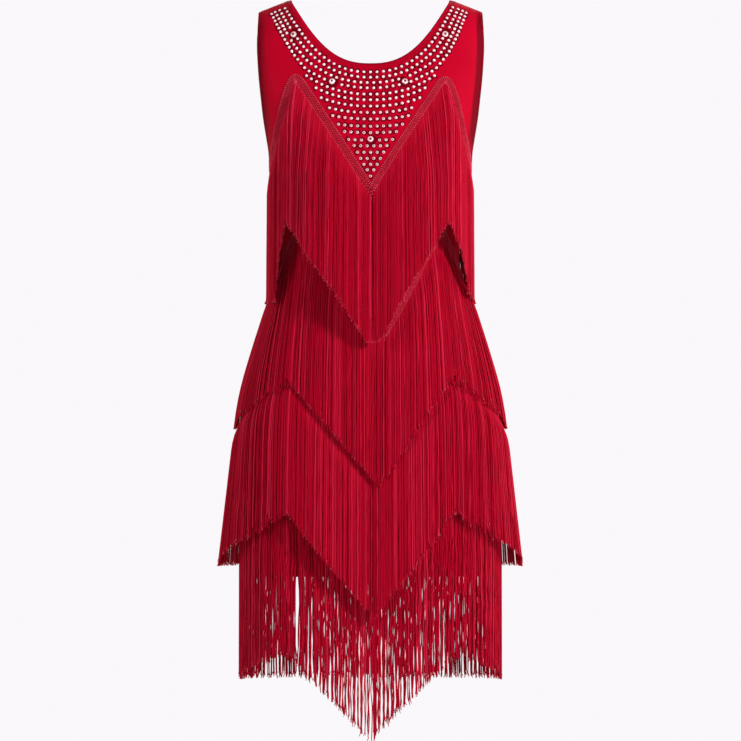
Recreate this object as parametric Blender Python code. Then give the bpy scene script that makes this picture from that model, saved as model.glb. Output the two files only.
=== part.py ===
"""A sleeveless stage dress of red stretch jersey with four tiers of hanging fringe, filled out as worn.

Metres, +Z up, the front faces -Y. The origin lies midway between the neck ends of the two
shoulder seams, at the height where the straps rest on the wearer. A place on a panel is given by
its drop below the shoulder line and its share of the way round, from 0 at the centre to 1 at the
side seam, negative on the -X side.
"""

import math
from collections import namedtuple

import bpy
import numpy as np
from mathutils import Vector
from mathutils.bvhtree import BVHTree

# Cloth and trim
CLOTH = 0.0012  # jersey wall
SEAM_GAP = 0.0003  # between pieces that are sewn together
TAPE_WIDTH = 0.009  # woven heading that a fringe hangs from
TAPE_THICK = 0.0014

# Outline of the cut
HEM_DROP = 0.736
NECK_HALF = 0.1013  # half the opening, at the shoulder seam
FRONT_NECK_DEPTH = 0.0828
BACK_NECK_DEPTH = 0.115
NECK_CURVE = 2.47  # how square the opening is
SHOULDER_HALF = 0.1425  # outer end of the shoulder seam
ARMHOLE_DROP = 0.201

# Shoulders: the seam falls outwards, and the cloth rolls over it from front to back
SHOULDER_SLOPE = 0.42
SHOULDER_START = 0.095
SHOULDER_EASE = 0.015
SHOULDER_FADE = 0.090
ROLL_DROP = 0.050

# Bust fullness, on a general figure
BUST_DROP = 0.240
BUST_APEX = 0.078
BUST_RISE = 0.13  # share added to the front depth
BUST_WIDE = 0.046
BUST_HIGH = 0.048

# The worn form at each drop: half width, depth in front, depth behind, and how square the section is
Section = namedtuple("Section", "drop half_width front back square")
FORM = [
    Section(0.000, 0.1660, 0.050, 0.052, 3.0),
    Section(0.050, 0.1680, 0.057, 0.066, 3.0),
    Section(0.100, 0.1570, 0.078, 0.084, 3.0),
    Section(0.150, 0.1430, 0.094, 0.091, 2.8),
    Section(0.180, 0.1345, 0.100, 0.091, 2.6),
    Section(0.201, 0.1290, 0.103, 0.090, 2.5),
    Section(0.245, 0.1245, 0.104, 0.085, 2.35),
    Section(0.280, 0.1195, 0.097, 0.078, 2.3),
    Section(0.319, 0.1128, 0.087, 0.070, 2.2),
    Section(0.345, 0.1140, 0.085, 0.071, 2.2),
    Section(0.400, 0.1275, 0.089, 0.084, 2.25),
    Section(0.450, 0.1425, 0.093, 0.100, 2.3),
    Section(0.500, 0.1560, 0.096, 0.113, 2.35),
    Section(0.550, 0.1635, 0.098, 0.119, 2.4),
    Section(0.600, 0.1645, 0.098, 0.118, 2.4),
    Section(0.650, 0.1630, 0.096, 0.113, 2.4),
    Section(0.736, 0.1590, 0.093, 0.106, 2.4),
]

# The armhole's edge, seen from the front
Edge = namedtuple("Edge", "drop half_width")
ARMHOLE = [
    Edge(0.000, 0.1425),
    Edge(0.037, 0.1442),
    Edge(0.065, 0.1438),
    Edge(0.094, 0.1420),
    Edge(0.122, 0.1393),
    Edge(0.150, 0.1362),
    Edge(0.178, 0.1318),
    Edge(0.192, 0.1296),
    Edge(ARMHOLE_DROP, 0.1290),
]

# Fringe tiers. The heading is a zigzag in front (centre, peak, side) and runs level behind; the
# strands end on a second zigzag. Tips swing out beyond the body by side_out and front_out.
Tier = namedtuple(
    "Tier",
    "centre peak side peak_cell tip_centre tip_peak tip_side tip_cell side_out front_out lift steps",
)
TIERS = [
    Tier(0.239, 0.099, 0.222, 6, 0.435, 0.290, 0.388, 7, 0.001, 0.002, 0.0045, 5),
    Tier(0.442, 0.290, 0.358, 8, 0.619, 0.487, 0.548, 8, 0.002, 0.002, 0.0045, 3),
    Tier(0.595, 0.463, 0.532, 7, 0.787, 0.655, 0.723, 7, 0.020, 0.010, 0.0045, 3),
    Tier(0.714, 0.620, 0.655, 7, 0.951, 0.838, 0.864, 7, 0.000, 0.000, 0.0020, 2),
]
LOCK_TAPER = 0.24  # share of its width that a lock, one cell wide at its root, loses at the tip
STEP_CROWDING = 1.35  # a lock's bends crowd towards its root, where it crosses its heading
LIFT_LENGTH = 0.030  # a lock stands its full lift off the cloth this far below its heading
RAGGED = 0.003  # how far neighbouring tips differ in length

# Cells of the panels, from the centre to one side seam
CELLS = 14
NECK_CELLS, SHOULDER_CELLS, ARMHOLE_CELLS = 12, 3, 13  # twice CELLS, above the first heading
YOKE_BANDS = 7
YOKE_CROWDING = 1.5  # bands crowd towards the edges, where the cloth rolls
BANDS_BETWEEN = [4, 3, 2]  # bands between one heading and the next

SECTION_STEPS = 120
FALL_STEP = 0.006

RED = (0.52, 0.004, 0.022, 1.0)
TRIM_RED = (0.60, 0.008, 0.035, 1.0)


def along(rows, column, at):
    """A column of a table at any drop, on a smooth curve through the rows."""
    drops = [row.drop for row in rows]
    values = [getattr(row, column) for row in rows]
    i = min(max(int(np.searchsorted(drops, at)) - 1, 0), len(rows) - 2)

    def slope(k):
        low, high = max(k - 1, 0), min(k + 1, len(rows) - 1)
        return (values[high] - values[low]) / (drops[high] - drops[low])

    span = drops[i + 1] - drops[i]
    t = min(max((at - drops[i]) / span, 0.0), 1.0)
    rise = values[i + 1] - values[i]
    ease_in, ease_out = slope(i) * span, slope(i + 1) * span
    return (
        values[i]
        + ease_in * t
        + (3 * rise - 2 * ease_in - ease_out) * t**2
        + (ease_in + ease_out - 2 * rise) * t**3
    )


def depth_at(x, drop, side):
    """Depth of the form in front (side -1) or behind (side 1) on the section at this drop."""
    depth = along(FORM, "front" if side < 0 else "back", drop)
    if drop < ROLL_DROP:
        depth *= math.sqrt(1 - (1 - max(drop, 0.0) / ROLL_DROP) ** 2)
    if side < 0:
        across = (np.abs(x) - BUST_APEX) / BUST_WIDE
        down = (drop - BUST_DROP) / BUST_HIGH
        depth = depth * (1 + BUST_RISE * np.exp(-(across**2) - down**2))
    return depth


def quarter(drop, side):
    """The section from the centre line to the side seam: x, y and the distance run."""
    half_width = along(FORM, "half_width", drop)
    power = 2 / along(FORM, "square", drop)
    turn = np.linspace(0, math.pi / 2, SECTION_STEPS)
    x = half_width * np.sin(turn) ** power
    y = side * depth_at(x, drop, side) * np.maximum(np.cos(turn), 0.0) ** power
    run = np.concatenate([[0.0], np.cumsum(np.hypot(np.diff(x), np.diff(y)))])
    return x, y, run


def ramp(x):
    """How far out along the sloping shoulder a point is, easing in from the neck."""
    out = abs(x) - SHOULDER_START
    return (out + math.hypot(out, SHOULDER_EASE)) / 2


def fall_at(x, drop):
    """How far the slope of the shoulder lowers the cloth here."""
    slope = SHOULDER_SLOPE * (ramp(x) - ramp(NECK_HALF))
    return slope * math.exp(-((drop / SHOULDER_FADE) ** 2))


def drop_at(x, z):
    """The drop of the section that the form has at this place."""
    drop = -z
    for _ in range(3):
        drop = -z - fall_at(x, drop)
    return min(drop, HEM_DROP)


def place(share, drop, side):
    """The point of the form at this share of the way round and this drop."""
    x, y, run = quarter(drop, side)
    at = abs(share) * run[-1]
    px = math.copysign(float(np.interp(at, run, x)), share)
    return np.array([px, float(np.interp(at, run, y)), -drop - fall_at(px, drop)])


def share_of(x, drop, side):
    """The share at which the section at this drop reaches the half width x."""
    across, _, run = quarter(drop, side)
    return float(np.interp(x, across, run)) / run[-1]


def evenly(coordinates, side, count):
    """The same run of (share, drop) places, taken at even distances over the form."""
    points = np.array([place(share, drop, side) for share, drop in coordinates])
    run = np.concatenate([[0.0], np.cumsum(np.linalg.norm(np.diff(points, axis=0), axis=1))])
    wanted = np.linspace(0, run[-1], count + 1)
    shares, drops = np.array(coordinates).T
    return list(zip(np.interp(wanted, run, shares), np.interp(wanted, run, drops)))


def top_edge(side):
    """Half of a panel's top edge: neck from the centre, shoulder seam, armhole to the side seam."""
    depth = FRONT_NECK_DEPTH if side < 0 else BACK_NECK_DEPTH
    neck = []
    for x in np.linspace(0, NECK_HALF, 40):
        drop = depth * (1 - (x / NECK_HALF) ** NECK_CURVE)
        neck.append((share_of(x, drop, side), drop))
    shoulder = [(share_of(x, 0.0, side), 0.0) for x in (NECK_HALF, SHOULDER_HALF)]
    armhole = []
    for turn in np.linspace(0, math.pi / 2, 60):
        drop = ARMHOLE_DROP * (1 - math.cos(2 * turn)) / 2
        armhole.append((share_of(along(ARMHOLE, "half_width", drop), drop, side), drop))
    armhole[-1] = (1.0, ARMHOLE_DROP)
    return (
        evenly(neck, side, NECK_CELLS)
        + evenly(shoulder, side, SHOULDER_CELLS)[1:]
        + evenly(armhole, side, ARMHOLE_CELLS)[1:]
    )


def zigzag(share, centre, peak, outer, peak_cell):
    """Drop of a V at the centre, up to the peak and down again to the side seam."""
    return float(np.interp(abs(share), [0, peak_cell / CELLS, 1], [centre, peak, outer]))


def heading_drop(tier, share, side):
    if side > 0:
        return tier.side
    return zigzag(share, tier.centre, tier.peak, tier.side, tier.peak_cell)


def tip_drop(tier, share, side):
    if side > 0:
        return tier.tip_side
    return zigzag(share, tier.tip_centre, tier.tip_peak, tier.tip_side, tier.tip_cell)


def columns(cells):
    return [k / cells for k in range(-cells, cells + 1)]


def heading_rows(tier, side):
    """Top and bottom rows of a heading on the panel's columns, TAPE_WIDTH apart square across."""
    shares = columns(CELLS)
    top = [heading_drop(tier, share, side) for share in shares]
    cell = [quarter(drop, side)[2][-1] / CELLS for drop in top]
    bottom = []
    for j, drop in enumerate(top):
        nearby = [abs(top[k] - drop) for k in (j - 1, j + 1) if 0 <= k < len(top)]
        slope = sum(nearby) / len(nearby) / cell[j]
        bottom.append(drop + TAPE_WIDTH * math.hypot(1, slope))
    return list(zip(shares, top)), list(zip(shares, bottom))


def between(upper, lower, count):
    """The rows that divide the space between two rows into count bands, without the two."""
    rows = []
    for k in range(1, count):
        t = k / count
        rows.append([(s, (1 - t) * a + t * b) for (s, a), (_, b) in zip(upper, lower)])
    return rows


def yoke_rows(side, heading):
    """Rows of twice the columns, from the panel's top edge down towards the first heading."""
    half = top_edge(side)
    top = [(-share, drop) for share, drop in half[:0:-1]] + half
    shares = columns(2 * CELLS)
    foot = np.interp(shares, columns(CELLS), [drop for _, drop in heading])
    rows = []
    for band in range(YOKE_BANDS):
        t = (band / YOKE_BANDS) ** YOKE_CROWDING
        row = []
        for (edge_share, edge_drop), share, foot_drop in zip(top, shares, foot):
            drop = (1 - t) * edge_drop + t * foot_drop
            edge_x = place(edge_share, edge_drop, side)[0]
            x = (1 - t) * edge_x + t * place(share, foot_drop, side)[0]
            straight = math.copysign(share_of(abs(x), drop, side), x)
            straightness = (1 - t) * (1 - edge_drop / ARMHOLE_DROP)
            around = (1 - t) * edge_share + t * share
            row.append((straightness * straight + (1 - straightness) * around, drop))
        rows.append(row)
    return rows


class Sheet:
    """A surface of points, outward normals and faces, given thickness as a closed solid."""

    def __init__(self, points, faces, normals=None):
        self.points = np.array(points)
        self.faces = faces
        if normals is None:
            mesh = bpy.data.meshes.new("sheet")
            mesh.from_pydata(self.points.tolist(), [], faces)
            normals = [tuple(vertex.normal) for vertex in mesh.vertices]
            bpy.data.meshes.remove(mesh)
        self.normals = np.array(normals)

    def solid(self, name, inner, outer, material):
        count = len(self.points)
        points = np.concatenate(
            [self.points + inner * self.normals, self.points + outer * self.normals]
        )
        edges = {(face[k - 1], face[k]) for face in self.faces for k in range(len(face))}
        faces = [face[::-1] for face in self.faces]
        faces += [[index + count for index in face] for face in self.faces]
        for a, b in sorted(edges):
            if (b, a) not in edges:
                faces.append([a, b, b + count, a + count])
        mesh = bpy.data.meshes.new(name)
        mesh.from_pydata(points.tolist(), [], faces)
        mesh.shade_smooth()
        mesh.set_sharp_from_angle(angle=math.radians(40))
        mesh.materials.append(material)
        piece = bpy.data.objects.new(name, mesh)
        bpy.context.scene.collection.objects.link(piece)
        return piece


def level(normals, indexes):
    """Turns the normals on a seam into the plane of the seam, so that both panels agree there."""
    for index in indexes:
        normals[index][1] = 0.0
        normals[index] /= np.linalg.norm(normals[index])


class Panel:
    """Front (side -1) or back (side 1): the wall's inner points, and the rows that trim follows."""

    def __init__(self, side):
        self.side = side
        headings = [heading_rows(tier, side) for tier in TIERS]
        hem = [(share, HEM_DROP) for share in columns(CELLS)]
        body = []
        self.heading_row = []
        for k, (top, bottom) in enumerate(headings):
            self.heading_row.append(len(body))
            body += [top, bottom]
            if k < len(BANDS_BETWEEN):
                body += between(bottom, headings[k + 1][0], BANDS_BETWEEN[k])
        body.append(hem)
        yoke = yoke_rows(side, headings[0][0])

        points, self.yoke, self.body = [], [], []
        for rows, kept in ((yoke, self.yoke), (body, self.body)):
            for row in rows:
                kept.append(list(range(len(points), len(points) + len(row))))
                points += [self.seated(share, drop) for share, drop in row]
        rows = self.yoke + self.body
        faces = [face for pair in zip(rows, rows[1:]) for face in self.band(points, *pair)]
        self.sheet = Sheet(points, faces)
        seams = [row[end] for row in rows for end in (0, -1)]
        tips = (CELLS * 2 - NECK_CELLS - SHOULDER_CELLS, CELLS * 2 - NECK_CELLS)
        for start in (tips[0], 4 * CELLS - tips[1]):
            seams += self.yoke[0][start : start + SHOULDER_CELLS + 1]
        level(self.sheet.normals, seams)
        self.outer = self.sheet.points + CLOTH * self.sheet.normals

    def seated(self, share, drop):
        point = place(share, drop, self.side)
        point[1] += self.side * SEAM_GAP / 2
        return point

    def facing(self, face):
        """Faces run anticlockwise seen from outside, which is the other way round behind."""
        return face if self.side < 0 else face[::-1]

    def halves(self, points, quad):
        """A quad's two triangles, split on its shorter diagonal."""
        a, b, c, d = quad
        if np.linalg.norm(points[a] - points[c]) < np.linalg.norm(points[b] - points[d]) + 1e-7:
            return [self.facing([a, b, c]), self.facing([a, c, d])]
        return [self.facing([a, b, d]), self.facing([b, c, d])]

    def band(self, points, upper, lower):
        """The triangles between two rows, where the upper may have twice the columns."""
        faces = []
        for j in range(len(lower) - 1):
            if len(upper) == len(lower):
                faces += self.halves(points, [lower[j], lower[j + 1], upper[j + 1], upper[j]])
            else:
                a, b, c = upper[2 * j : 2 * j + 3]
                faces.append(self.facing([lower[j], b, a]))
                faces.append(self.facing([lower[j], lower[j + 1], b]))
                faces.append(self.facing([lower[j + 1], c, b]))
        return faces

    def heading(self, number):
        """The rows of indexes and the triangles of the cloth under a heading tape."""
        upper, lower = self.body[self.heading_row[number] : self.heading_row[number] + 2]
        return upper, lower, self.band(self.sheet.points, upper, lower)


def wall_of(panels):
    """The outside of the whole dress, for finding the nearest cloth to a hanging strand."""
    points, faces = [], []
    for panel in panels:
        faces += [[index + len(points) for index in face] for face in panel.sheet.faces]
        points += panel.outer.tolist()
    return BVHTree.FromPolygons(points, faces)


def pushed_out(point, wall, clearance):
    """The point moved level, square to the cloth, until it clears it, and that direction."""
    for _ in range(3):
        seen = Vector((point[0], point[1], max(point[2], -HEM_DROP)))
        nearest, facing, _, _ = wall.find_nearest(seen)
        level_size = math.hypot(facing[0], facing[1])
        away = np.array([facing[0], facing[1], 0.0]) / level_size
        short = clearance - (seen - nearest).dot(facing)
        if short > 0:
            point = point + short / level_size * away
    return point, away


def fall(root, wall, tier, tip):
    """Points and normals down a strand that hangs from root, over the body, to the drop of its tip."""
    length = -tip - root[2]
    count = math.ceil(abs(length) / FALL_STEP)
    point, hung = root, [(root, None)]
    for k in range(1, count + 1):
        point = np.array([point[0], point[1], root[2] + length * k / count])
        lift = min(-length * k / count / LIFT_LENGTH, 1.0) * tier.lift
        point, away = pushed_out(point, wall, SEAM_GAP + lift)
        hung.append((point, away))

    bends = [round(count * (k / tier.steps) ** STEP_CROWDING) for k in range(tier.steps + 1)]
    path, above = [], root
    for upper, lower in zip(bends, bends[1:]):
        point, away = hung[lower]
        sag = 0.0
        for i in range(upper + 1, lower):
            chord = above + (point - above) * (i - upper) / (lower - upper)
            sag = max(sag, float(np.dot(hung[i][0] - chord, away)))
        share = lower / count
        spread = share * math.hypot(tier.side_out * away[0], tier.front_out * away[1])
        above = point + (2 * sag + spread) * away
        path.append((above, away))
    return path


def add_fringe(name, panel, wall, number, material):
    """One tier on one panel: a heading tape on the wall, with a lock hanging from each cell."""
    tier = TIERS[number]
    upper, lower, tape = panel.heading(number)
    used = {index: k for k, index in enumerate(upper + lower)}
    normals = [panel.sheet.normals[index] for index in used]
    points = [panel.outer[index] + SEAM_GAP * panel.sheet.normals[index] for index in used]
    faces = [[used[index] for index in face] for face in tape]

    roots = [used[index] for index in lower]
    for cell, (left, right) in enumerate(zip(roots, roots[1:])):
        share = (cell + 0.5) / CELLS - 1
        tip = tip_drop(tier, share, panel.side) - RAGGED * (0.5 + 0.5 * math.sin(2.4 * cell))
        paths = [fall(points[root], wall, tier, tip) for root in (left, right)]
        above = (left, right)
        for step in range(tier.steps):
            (a, normal_a), (b, normal_b) = paths[0][step], paths[1][step]
            narrow = LOCK_TAPER / 2 * (step + 1) / tier.steps
            below = (len(points), len(points) + 1)
            points += [a + narrow * (b - a), b + narrow * (a - b)]
            normals += [normal_a, normal_b]
            faces.append(panel.facing([below[0], below[1], above[1], above[0]]))
            above = below
    Sheet(points, faces, normals).solid(name, 0.0, TAPE_THICK, material)


def cloth_material(name, colour, roughness):
    material = bpy.data.materials.new(name)
    material.use_nodes = True
    shader = material.node_tree.nodes["Principled BSDF"]
    shader.inputs["Base Color"].default_value = colour
    shader.inputs["Roughness"].default_value = roughness
    shader.inputs["Metallic"].default_value = 0.0
    return material


def main():
    for old in list(bpy.data.objects):
        bpy.data.objects.remove(old, do_unlink=True)
    jersey = cloth_material("jersey", RED, 0.55)
    fringe = cloth_material("fringe", TRIM_RED, 0.45)

    front, back = Panel(-1), Panel(1)
    front.sheet.solid("front_panel", 0.0, CLOTH, jersey)
    back.sheet.solid("back_panel", 0.0, CLOTH, jersey)
    wall = wall_of([front, back])
    for label, panel in (("front", front), ("back", back)):
        for number in range(len(TIERS)):
            add_fringe(f"{label}_fringe_{number + 1}", panel, wall, number, fringe)


main()
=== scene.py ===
"""A sleeveless stage dress: red stretch jersey, four tiers of hanging fringe, and a stoned yoke.

Metres, +Z up, the front faces -Y. A place on a panel is its drop below the shoulder line and its
share of the way round, from 0 at the centre to 1 at the side seam, negative on the -X side.
"""

import math
from collections import namedtuple

import bpy
import numpy as np
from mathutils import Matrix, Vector
from mathutils.bvhtree import BVHTree


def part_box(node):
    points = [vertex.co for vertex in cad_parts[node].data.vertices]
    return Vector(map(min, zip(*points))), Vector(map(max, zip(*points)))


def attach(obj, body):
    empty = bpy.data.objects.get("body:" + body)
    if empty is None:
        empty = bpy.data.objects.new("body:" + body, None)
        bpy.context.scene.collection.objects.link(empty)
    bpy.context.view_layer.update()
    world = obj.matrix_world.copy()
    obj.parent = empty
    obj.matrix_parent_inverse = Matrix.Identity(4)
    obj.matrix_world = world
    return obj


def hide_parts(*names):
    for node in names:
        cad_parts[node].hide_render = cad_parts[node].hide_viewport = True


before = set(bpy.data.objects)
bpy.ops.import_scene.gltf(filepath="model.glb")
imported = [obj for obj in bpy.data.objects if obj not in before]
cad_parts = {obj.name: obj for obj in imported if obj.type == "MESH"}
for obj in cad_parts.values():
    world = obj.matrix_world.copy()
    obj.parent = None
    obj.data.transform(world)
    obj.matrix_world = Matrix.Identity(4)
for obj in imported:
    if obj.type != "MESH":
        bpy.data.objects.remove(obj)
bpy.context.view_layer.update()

# ----------------------------------------------------------
# The two panels. A front and a back are cut from one weight of red stretch jersey, sewn together
# at the shoulders and the sides, and filled out by the wearer. Their neck, armholes and bottom
# are turned in once, so that the edge is round and two layers thick.

CLOTH = 0.0012
HEM_DROP = -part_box("front_panel")[0].z
NECK_HALF = 0.1013
NECK_DEPTH = {-1: 0.0828, 1: 0.115}  # front, back
NECK_CURVE = 2.47
SHOULDER_HALF = 0.1425
ARMHOLE_DROP = 0.201
SHOULDER_SLOPE = 0.42  # fall for each metre out along the shoulder
SHOULDER_START, SHOULDER_EASE = 0.095, 0.015  # where the slope sets in, and over what width
SHOULDER_FADE = 0.090  # the slope dies out about this far down
ROLL_DROP = 0.050  # the top of the shoulders is rounded over this drop
BUST_DROP, BUST_APEX = 0.240, 0.078
BUST_RISE, BUST_WIDE, BUST_HIGH = 0.13, 0.046, 0.048
YOKE_FOOT = 0.242  # the first level row of the cloth
EDGE_CELLS = (24, 6, 26)  # along half a neck, a shoulder seam and an armhole
CELLS = sum(EDGE_CELLS)
YOKE_BANDS, BODY_BANDS = 34, 84
YOKE_CROWDING = 1.5  # rows of the grid crowd towards the top edge
SECTION_STEPS, NECK_STEPS, ARMHOLE_STEPS = 120, 60, 80  # points that each line is measured at
RIM_ROUND = 0.0005  # how far a turned edge bulges out
CREASE_FADE = 1.2  # half lengths from its middle at which a crease has faded out

# Half width, depth in front, depth behind and squareness of the worn form at each drop
Section = namedtuple("Section", "drop half_width front back square")
FORM = [
    Section(0.000, 0.1660, 0.050, 0.052, 3.0),
    Section(0.050, 0.1680, 0.057, 0.066, 3.0),
    Section(0.100, 0.1570, 0.078, 0.084, 3.0),
    Section(0.150, 0.1430, 0.094, 0.091, 2.8),
    Section(0.180, 0.1345, 0.100, 0.091, 2.6),
    Section(0.201, 0.1290, 0.103, 0.090, 2.5),
    Section(0.245, 0.1245, 0.104, 0.085, 2.35),
    Section(0.280, 0.1195, 0.097, 0.078, 2.3),
    Section(0.319, 0.1128, 0.087, 0.070, 2.2),
    Section(0.345, 0.1140, 0.085, 0.071, 2.2),
    Section(0.400, 0.1275, 0.089, 0.084, 2.25),
    Section(0.450, 0.1425, 0.093, 0.100, 2.3),
    Section(0.500, 0.1560, 0.096, 0.113, 2.35),
    Section(0.550, 0.1635, 0.098, 0.119, 2.4),
    Section(0.600, 0.1645, 0.098, 0.118, 2.4),
    Section(0.650, 0.1630, 0.096, 0.113, 2.4),
    Section(0.736, 0.1590, 0.093, 0.106, 2.4),
]

# The armhole's edge, seen from the front, and how its cloth turns in towards the arm
Edge = namedtuple("Edge", "drop half_width")
ARMHOLE = [
    Edge(0.000, 0.1425),
    Edge(0.037, 0.1442),
    Edge(0.065, 0.1438),
    Edge(0.094, 0.1420),
    Edge(0.122, 0.1393),
    Edge(0.150, 0.1362),
    Edge(0.178, 0.1318),
    Edge(0.192, 0.1296),
    Edge(ARMHOLE_DROP, 0.1290),
]
TURN_WIDTH = {-1: 0.0140, 1: 0.0105}  # on the -X and on the +X shoulder
TURN_DEPTH = {-1: 0.0080, 1: 0.0105}
TURN_DROPS = [0.0, 0.022, 0.150, 0.196]  # it fades out at both ends
TURN_PAINTED_SHADE = {-1: (0.20, 1.6), 1: (0.0, 3.5)}  # where on the turned cloth its painted shade sets in, and how fast it darkens
NECK_ROLL, NECK_ROLL_WIDE = 0.0016, 0.0042  # how far the neck's edge rolls in, and over what width
# rows the roll reaches, cells over which it eases in at each end, and how fast its painted shade darkens the
# edge
NECK_ROLL_ROWS, NECK_ROLL_ENDS, NECK_ROLL_PAINTED_SHADE = 6, 3, 1.3

# Soft creases of the yoke: two ends (x, drop), half width and height
Crease = namedtuple("Crease", "x0 drop0 x1 drop1 wide high")
CREASES = {
    -1: [
        Crease(-0.127, 0.172, -0.098, 0.150, 0.0045, 0.0012),
        Crease(-0.124, 0.192, -0.104, 0.184, 0.0035, 0.0008),
        Crease(-0.128, 0.030, -0.131, 0.125, 0.0040, 0.0007),
        Crease(-0.110, 0.040, -0.104, 0.090, 0.0070, -0.0006),
        Crease(0.126, 0.166, 0.102, 0.139, 0.0050, 0.0010),
        Crease(0.123, 0.188, 0.108, 0.178, 0.0040, 0.0009),
        Crease(0.112, 0.046, 0.106, 0.094, 0.0065, -0.0005),
        Crease(-0.020, 0.205, 0.022, 0.213, 0.0080, 0.0005),
    ],
    1: [
        Crease(-0.125, 0.168, -0.090, 0.156, 0.0050, 0.0011),
        Crease(0.126, 0.174, 0.096, 0.166, 0.0045, 0.0013),
        Crease(0.122, 0.150, 0.100, 0.136, 0.0055, 0.0007),
        Crease(-0.060, 0.140, -0.030, 0.196, 0.0100, -0.0009),
        Crease(0.052, 0.150, 0.036, 0.205, 0.0110, -0.0008),
        Crease(-0.114, 0.040, -0.108, 0.105, 0.0070, 0.0007),
        Crease(0.113, 0.052, 0.106, 0.115, 0.0060, 0.0008),
    ],
}


def along(rows, column, at):
    """A column of a table at any drop, on a smooth curve through the rows."""
    drops = [row.drop for row in rows]
    values = [getattr(row, column) for row in rows]
    i = min(max(int(np.searchsorted(drops, at)) - 1, 0), len(rows) - 2)

    def slope(k):
        low, high = max(k - 1, 0), min(k + 1, len(rows) - 1)
        return (values[high] - values[low]) / (drops[high] - drops[low])

    span = drops[i + 1] - drops[i]
    t = min(max((at - drops[i]) / span, 0.0), 1.0)
    rise = values[i + 1] - values[i]
    ease_in, ease_out = slope(i) * span, slope(i + 1) * span
    return (
        values[i]
        + ease_in * t
        + (3 * rise - 2 * ease_in - ease_out) * t**2
        + (ease_in + ease_out - 2 * rise) * t**3
    )


def depth_at(x, drop, side):
    """Depth of the form in front (side -1) or behind (side 1) on the section at this drop."""
    depth = along(FORM, "front" if side < 0 else "back", drop)
    if drop < ROLL_DROP:
        depth *= math.sqrt(1 - (1 - max(drop, 0.0) / ROLL_DROP) ** 2)
    if side < 0:
        across = (np.abs(x) - BUST_APEX) / BUST_WIDE
        down = (drop - BUST_DROP) / BUST_HIGH
        depth = depth * (1 + BUST_RISE * np.exp(-(across**2) - down**2))
    return depth


def quarter(drop, side):
    """The section from the centre line to the side seam: x, y and the distance run."""
    half_width = along(FORM, "half_width", drop)
    power = 2 / along(FORM, "square", drop)
    turn = np.linspace(0, math.pi / 2, SECTION_STEPS)
    x = half_width * np.sin(turn) ** power
    y = side * depth_at(x, drop, side) * np.maximum(np.cos(turn), 0.0) ** power
    run = np.concatenate([[0.0], np.cumsum(np.hypot(np.diff(x), np.diff(y)))])
    return x, y, run


def ramp(x):
    """How far out along the sloping shoulder a point is, easing in from the neck."""
    out = np.abs(x) - SHOULDER_START
    return (out + np.hypot(out, SHOULDER_EASE)) / 2


def fall_at(x, drop):
    """How far the slope of the shoulder lowers the cloth here."""
    return SHOULDER_SLOPE * (ramp(x) - ramp(NECK_HALF)) * math.exp(-((drop / SHOULDER_FADE) ** 2))


def row_of(shares, drop, side):
    """Points of the form at these shares of one section."""
    x, y, run = quarter(drop, side)
    at = np.abs(shares) * run[-1]
    across = np.copysign(np.interp(at, run, x), shares)
    return np.stack([across, np.interp(at, run, y), -drop - fall_at(across, drop)], axis=1)


def place(share, drop, side):
    return row_of(np.array([share]), drop, side)[0]


def share_of(x, drop, side):
    """The share at which the section at this drop reaches the half width x."""
    across, _, run = quarter(drop, side)
    return float(np.interp(x, across, run)) / run[-1]


def distances(line):
    """How far along a line each of its points lies."""
    return np.concatenate([[0.0], np.cumsum(np.linalg.norm(np.diff(line, axis=0), axis=1))])


def evenly(coordinates, side, count):
    """The same run of (share, drop) places, taken at even distances over the form."""
    run = distances(np.array([place(share, drop, side) for share, drop in coordinates]))
    wanted = np.linspace(0, run[-1], count + 1)
    shares, drops = np.array(coordinates).T
    return list(zip(np.interp(wanted, run, shares), np.interp(wanted, run, drops)))


def top_edge(side):
    """Half of a panel's top edge: neck from the centre, shoulder seam, armhole to the side seam."""
    neck = []
    for x in np.linspace(0, NECK_HALF, NECK_STEPS):
        drop = NECK_DEPTH[side] * (1 - (x / NECK_HALF) ** NECK_CURVE)
        neck.append((share_of(x, drop, side), drop))
    shoulder = [(share_of(x, 0.0, side), 0.0) for x in (NECK_HALF, SHOULDER_HALF)]
    armhole = []
    for turn in np.linspace(0, math.pi / 2, ARMHOLE_STEPS):
        drop = ARMHOLE_DROP * (1 - math.cos(2 * turn)) / 2
        armhole.append((share_of(along(ARMHOLE, "half_width", drop), drop, side), drop))
    armhole[-1] = (1.0, ARMHOLE_DROP)
    half = []
    for run, count in zip((neck, shoulder, armhole), EDGE_CELLS):
        half += evenly(run, side, count)[1 if half else 0 :]
    return [(-share, drop) for share, drop in half[:0:-1]] + half


def yoke_row(t, top, shares, side):
    """The row that lies t of the way from a panel's top edge to the foot of the yoke."""
    row = []
    for (edge_share, edge_drop), share in zip(top, shares):
        drop = (1 - t) * edge_drop + t * YOKE_FOOT
        edge_x = place(edge_share, edge_drop, side)[0]
        x = (1 - t) * edge_x + t * place(share, YOKE_FOOT, side)[0]
        straight = math.copysign(share_of(abs(x), drop, side), x)
        straightness = (1 - t) * (1 - edge_drop / ARMHOLE_DROP)
        around = (1 - t) * edge_share + t * share
        row.append((straightness * straight + (1 - straightness) * around, drop))
    return row


def turn_in_and_paint_shade(points, side):
    """Turns the cloth beside an armhole in towards the arm, and gives each point the painted shade that
    darkens the cloth there.
    """
    shade = np.full(len(points), -1.0)
    for k, point in enumerate(points):
        drop = -point[2] - fall_at(point[0], -point[2])
        if drop > ARMHOLE_DROP:
            continue
        hand = 1 if point[0] > 0 else -1
        edge = along(ARMHOLE, "half_width", drop)
        near = min(1 - (edge - abs(point[0])) / TURN_WIDTH[hand], 1.0)
        fade = np.interp(drop, TURN_DROPS, [0, 1, 1, 0])
        starts, rate = TURN_PAINTED_SHADE[hand]
        shade[k] = max(fade * rate * (near - starts), -1.0)
        if near > 0:
            point[1] -= side * TURN_DEPTH[hand] * fade * near**1.5
    return shade


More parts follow.
